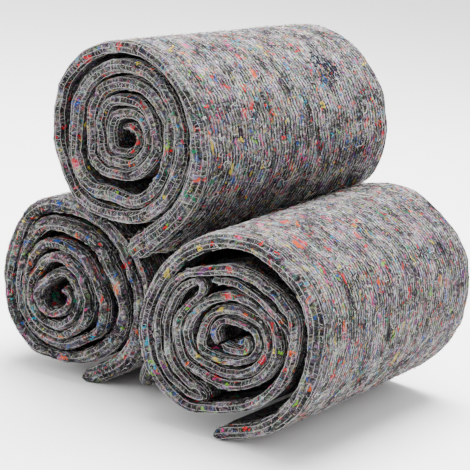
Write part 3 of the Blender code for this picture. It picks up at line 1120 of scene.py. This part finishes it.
strew_tree, given = new_tree("strands_strewn", SHAPE_INPUTS + STREW_INPUTS)
density = maths(strew_tree, "MULTIPLY", point_value(strew_tree, given["Mask"], "FLOAT"), given["Density"])
strewn = node(strew_tree, "GeometryNodeDistributePointsOnFaces", None, Mesh=given["Geometry"],
              Density=density, Seed=given["Seed"])
finish_tree(strew_tree, given, strewn.outputs["Points"], strewn.outputs["Rotation"],
            random_number(strew_tree, 0.0, 1.0, given["Seed"], 7))
print("node trees", [tree.name for tree in (rows_tree, strew_tree)])

# %% [markdown]
# A piece is made by giving a mesh to a tree, reading back the evaluated mesh and keeping
# only that.

# %% Run a tree
def set_down(name, mesh, tree, kind, material, **values):
    """Object of strands made by one tree on one mesh."""
    item = add_object(name, mesh)
    modifier = item.modifiers.new("strands", "NODES")
    modifier.node_group = tree
    items = shapes[kind]
    values.update({"Shape %d" % (index + 1): items[index % len(items)] for index in range(SHAPES)})
    values["Material"] = material
    for socket in tree.interface.items_tree:
        if socket.name in values:
            modifier[socket.identifier] = values[socket.name]
    bpy.context.view_layer.update()
    graph = bpy.context.evaluated_depsgraph_get()
    made = bpy.data.meshes.new_from_object(item.evaluated_get(graph))
    made.name = name
    item.modifiers.remove(modifier)
    item.data = made
    item.data.shade_smooth()
    print(name, "triangles", sum(len(face.vertices) - 2 for face in made.polygons))
    return item


def point_mesh(name, table):
    """Loose points that carry a direction, a surface normal, a chance and a dye number."""
    mesh = bpy.data.meshes.new(name)
    mesh.from_pydata(table["place"].tolist(), [], [])
    for label in ("along", "out"):
        layer = mesh.attributes.new(label, "FLOAT_VECTOR", "POINT")
        layer.data.foreach_set("vector", table[label].astype(np.float32).ravel())
    for label in ("chance", "tint"):
        layer = mesh.attributes.new(label, "FLOAT", "POINT")
        layer.data.foreach_set("value", table[label].astype(np.float32))
    return mesh


# %% [markdown]
# ## Rows of stitching
# The felt is sewn through in straight rows 5 mm apart. On a folded edge six of them run
# side by side, tied by short cross threads, and on the outside of a roll they
# give it its fine ribs. Each row is a line of equal distance across the cloth, so it is
# read off the rings of the mesh, and stitch after stitch is set along it.

# %% Stitch rows
NOSE_ROWS = np.arange(-10, 16, 5)
BODY_ROWS = np.arange(20, 340, 5)
FAR_ROWS = np.arange(-358, -325, 5)
STITCH_STRAY = 0.6
STRAY_LENGTH = 110
STRAY_SEED = 900
ROW_END = 2.0
ROW_START = 2
STITCH_UNEVEN = 0.25
ROW_SEED = 60
WORN = {
    # own seed, least and most chance
    "nose": (0, 0.1, 2.0),
    "far": (5, 0.2, 1.0),
    "body": (9, -0.15, 0.75),
    "ticks": (14, -0.4, 0.8),
}
TICK_SEED = 20


def row_points(cloth, rows, draw, shown_only=False, shift=0.0):
    """Stitch places along rows of one cloth: place, direction along, outward normal."""
    places, marks, sections = cloth
    count, size = marks.shape
    line = size // 2
    faces = places.reshape(count, size, 3)
    inner = faces[:, :line]
    outer = faces[:, ::-1][:, :line]
    reach = marks[:, :line]
    travel = sections["travel"]
    every = np.arange(count)
    found = []
    for row in rows:
        column = np.clip((reach < row + shift).sum(axis=1) - 1, 0, line - 2)
        low = reach[every, column]
        part = np.clip((row + shift - low) / (reach[every, column + 1] - low), 0, 1)[:, None]
        place = outer[every, column] * (1 - part) + outer[every, column + 1] * part
        out = place - inner[every, column] * (1 - part) - inner[every, column + 1] * part
        out /= np.linalg.norm(out, axis=1)[:, None]
        stops = np.arange(ROW_END, travel[-1] - ROW_END, STITCH_LENGTH)
        stops = stops + draw.normal(0, STITCH_UNEVEN, len(stops)) + draw.uniform(0, ROW_START)
        place, out = (np.column_stack([np.interp(stops, travel, column) for column in table.T])
                      for table in (place, out))
        along = np.gradient(place, axis=0)
        rest = np.interp(stops, travel, sections["shown"]) if shown_only else np.ones(len(stops))
        use = (rest > 0.5) & (place[:, 2] > GROUND_CLEAR * MM)
        aside = np.cross(out, along)
        aside /= np.linalg.norm(aside, axis=1)[:, None]
        stray = STITCH_STRAY * MM * waves(stops, int(row) + STRAY_SEED, STRAY_LENGTH)
        place = place + aside * stray[:, None]
        found.append((place[use], along[use], out[use], stops[use], np.full(use.sum(), row)))
    place, along, out, stops, row = (np.concatenate(column) for column in zip(*found))
    along /= np.linalg.norm(along, axis=1)[:, None]
    return {"place": place, "along": along, "out": out, "stops": stops, "row": row,
            "tint": draw.random(len(place))}


def roll_points(parts, rows, draw, **choices):
    """Stitch places on all cloths of one roll."""
    tables = [row_points(cloth, rows, draw, **choices) for cloth in parts]
    return {label: np.concatenate([table[label] for table in tables]) for label in tables[0]}


def worn(table, label, seed):
    """Give stitches their chance of being seen, lower where the nap hides them."""
    own, least, most = WORN[label]
    patchy = waves(table["stops"] + 13 * table["row"], seed + own, 90, 5)
    patchy = patchy + waves(table["row"] * 9, seed + own + 1, 120, 4)
    table["chance"] = np.clip(least + (most - least) * (0.5 + 0.5 * patchy), 0, 1)
    return table


stitching = {}
for seed, (name, parts) in enumerate(cloths.items()):
    draw = np.random.default_rng(ROW_SEED + seed)
    tables = (
        worn(roll_points(parts, NOSE_ROWS, draw), "nose", seed),
        worn(roll_points(parts, FAR_ROWS, draw), "far", seed),
        worn(roll_points(parts[:1], BODY_ROWS, draw, shown_only=True), "body", seed),
    )
    table = {label: np.concatenate([one[label] for one in tables]) for label in tables[0]}
    rows = set_down("stitches_" + name, point_mesh("points", table), rows_tree, "stitch", thread_material,
                    Smallest=0.85, Largest=1.1, Turn=0.1, Seed=seed)
    table = worn(roll_points(parts, NOSE_ROWS[:-1], draw, shift=ROW_PITCH / 2), "ticks", seed)
    ticks = set_down("ticks_" + name, point_mesh("points", table), rows_tree, "tick", thread_material,
                     Smallest=0.6, Largest=1.15, Turn=0.45, Seed=seed + TICK_SEED)
    stitching[name] = [rows, ticks]

# %% [markdown]
# ## Loose fibres, threads and tufts
# Needling pulls fibres out of the felt everywhere. Longer ends of white thread curl over
# the outside, and small tangles of coloured yarn sit in the surface.

# %% Strewn strands
STREWN = (
    # kind, material, strands a square metre, smallest, largest, where
    ("fibre", fibre_material, 21000.0, 0.7, 1.7, "in_sight"),
    ("squiggle", thread_material, 1900.0, 0.5, 1.2, "outside"),
    ("tuft", yarn_material, 450.0, 0.25, 0.65, "in_sight"),
)
loose = {}
for seed, (name, item) in enumerate(felts.items()):
    loose[name] = []
    for order, (kind, material, density, least, most, where) in enumerate(STREWN):
        loose[name].append(set_down(kind + "s_" + name, item.data.copy(), strew_tree, kind, material,
                                    Density=density, Mask=where, Smallest=least, Largest=most, Turn=math.pi,
                                    Seed=seed * 10 + order))

# %% [markdown]
# ## Bits of yarn that can be made out
# The clearest bits of yarn and of white fluff in the photograph are listed one by one:
# where each is seen in the picture and how many millimetres it covers. A line of sight from
# the camera finds the felt it lies on, and a bit of that size is a small heap of tufts.

# %% Flecks
PICTURE_SIZE = 470.0
HEAP_SPREAD = 0.24
TUFTS_PER_AREA = 0.17
SEEN = {
    # share of the yarn table: column and row in the photograph, width in millimetres
    0.05: ((218, 376, 8), (246, 429, 7), (125, 265, 8), (54, 303, 5), (169, 151, 6), (134, 150, 5),
           (290, 45, 6), (299, 51, 5), (265, 105, 5), (272, 111, 6), (283, 137, 6), (301, 153, 5),
           (335, 151, 4), (371, 101, 4), (119, 47, 6), (64, 127, 5), (241, 348, 4), (197, 402, 4),
           (210, 267, 4), (261, 243, 5), (285, 370, 4), (166, 228, 4), (148, 204, 5), (244, 89, 6),
           (206, 107, 5), (100, 244, 4), (316, 144, 4), (206, 180, 4)),
    0.28: ((292, 353, 9), (204, 267, 5), (282, 322, 4), (153, 69, 4), (410, 211, 6), (353, 224, 5),
           (298, 225, 5), (63, 357, 9), (78, 237, 7), (42, 272, 5), (138, 333, 5), (131, 164, 5),
           (209, 133, 4), (187, 363, 4)),
    0.38: ((199, 354, 5), (200, 248, 7), (138, 63, 7), (171, 49, 7), (322, 105, 7), (363, 65, 5),
           (287, 121, 6), (263, 167, 5), (242, 140, 6), (85, 126, 5), (273, 351, 5), (181, 274, 5),
           (89, 167, 4), (23, 222, 4)),
    0.47: ((233, 297, 5), (198, 256, 5), (181, 320, 5), (184, 195, 8), (194, 151, 6), (171, 113, 5),
           (290, 141, 5), (238, 396, 5), (407, 248, 6), (55, 297, 9), (75, 300, 4)),
    0.53: ((167, 145, 8), (280, 353, 5), (189, 73, 4)),
    0.61: ((76, 104, 10), (99, 49, 4), (88, 237, 5), (158, 176, 5), (240, 67, 4), (402, 191, 4),
           (132, 281, 4), (23, 323, 5), (252, 369, 4), (98, 323, 4)),
    0.71: ((34, 320, 6), (142, 120, 4), (238, 42, 7), (322, 85, 7), (287, 67, 6), (92, 337, 5),
           (155, 367, 6)),
    0.80: ((217, 348, 7), (225, 301, 4), (227, 44, 7), (239, 238, 6), (222, 430, 5), (30, 320, 3),
           (163, 395, 4), (86, 309, 4), (329, 220, 4)),
    0.89: ((311, 53, 7), (315, 58, 10), (318, 63, 11), (321, 60, 11), (324, 66, 12), (327, 63, 9),
           (329, 70, 11), (333, 69, 9), (335, 74, 9), (339, 76, 7), (107, 300, 6), (222, 323, 6)),
}
WHITE_SEEN = {
    0.0: ((183, 327, 8), (262, 397, 5), (57, 308, 7), (268, 163, 6), (216, 246, 5), (262, 322, 5),
          (248, 398, 4), (204, 118, 6), (221, 137, 6), (160, 150, 5)),
}
FLECK_SEED = 31
FLUFF_SEED = 32
sight = {name: BVHTree.FromPolygons([vertex.co for vertex in item.data.vertices],
                                    [face.vertices for face in item.data.polygons])
         for name, item in felts.items()}


def seen_at(column, row):
    """Felt that is seen at a place of the picture: roll, point and normal."""
    across = (column / PICTURE_SIZE - 0.5) * SENSOR / LENS
    down = (row / PICTURE_SIZE - 0.5) * SENSOR / LENS
    ray = Vector(CAMERA_RIGHT) * across - Vector(CAMERA_UP) * down - Vector(CAMERA_BACK)
    hits = [(name, *tree.ray_cast(Vector(CAMERA_PLACE), ray.normalized())) for name, tree in sight.items()]
    hits = [hit for hit in hits if hit[1] is not None]
    return min(hits, key=lambda hit: hit[4]) if hits else None


def heap_up(kind, material, table, seed):
    """Heaps of tufts at the places of a table, one piece a roll."""
    draw = np.random.default_rng(seed)
    heaps = {name: [] for name in felts}
    for tint, bits in table.items():
        for column, row, width in bits:
            for part in range(max(2, round(width * width * TUFTS_PER_AREA))):
                aside, below = (draw.normal(0, HEAP_SPREAD) * width for axis in range(2))
                hit = seen_at(column + aside, row + below)
                if hit:
                    name, place, normal = hit[:3]
                    side = normal.cross(Vector(draw.normal(0, 1, 3)))
                    heaps[name].append((place, side.normalized(), normal, tint))
    for name, heap in heaps.items():
        place, side, normal, tint = (np.array(column) for column in zip(*heap))
        points = {"place": place, "along": side, "out": normal, "tint": tint, "chance": np.ones(len(heap))}
        loose[name].append(set_down(kind + "_" + name, point_mesh("points", points), rows_tree, "tuft",
                                    material, Smallest=0.45, Largest=0.9, Turn=math.pi, Seed=seed))


heap_up("flecks", yarn_material, SEEN, FLECK_SEED)
heap_up("fluff", thread_material, WHITE_SEEN, FLUFF_SEED)

# %% [markdown]
# ## Setting
# A plain pale floor and soft light from above, so the tops of the rolls are bright and
# the folded ends fall into shade. A weak lamp at the front left lifts the end of the
# left roll.

# %% Floor and light
FLOOR_SIZE = 6.0
FLOOR_COLOUR = (0.93, 0.93, 0.93, 1.0)
FLOOR_ROUGHNESS = 0.8
SKY_STRENGTH = 1.6
LAMPS = {
    # place and target in metres, width, power
    "overhead": ((-0.2, 0.5, 2.2), (0.0, 0.1, 0.3), 1.6, 290),
    "front left": ((-1.5, -1.5, 0.3), (-0.15, -0.1, 0.1), 1.2, 40),
}

floor = add_object("floor", bpy.data.meshes.new("floor"))
work = bmesh.new()
bmesh.ops.create_grid(work, x_segments=1, y_segments=1, size=FLOOR_SIZE)
work.to_mesh(floor.data)
work.free()
pale, _, shader = plain_material("pale_floor", FLOOR_ROUGHNESS)
shader.inputs["Base Color"].default_value = FLOOR_COLOUR
floor.data.materials.append(pale)

world = bpy.data.worlds.new("studio")
world.use_nodes = True
sky = world.node_tree.nodes["Background"]
sky.inputs["Color"].default_value = (1.0, 1.0, 1.0, 1.0)
sky.inputs["Strength"].default_value = SKY_STRENGTH
bpy.context.scene.world = world

for name, (place, target, size, power) in LAMPS.items():
    lamp = bpy.data.lights.new(name, "AREA")
    lamp.size = size
    lamp.energy = power
    item = add_object(name, lamp)
    item.location = place
    item.rotation_euler = (Vector(target) - Vector(place)).to_track_quat("-Z", "Y").to_euler()
print("lamps", list(LAMPS))

# %% [markdown]
# ## The cloths in place of the solids
# Each cloth stands for its solid: the solid is hidden, and the cloth and its strands are hung
# on the root.

for name, item in felts.items():
    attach(item, "root")
    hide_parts("roll_" + name)
    pieces = stitching[name] + loose[name]
    for piece in pieces:
        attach(piece, "root")
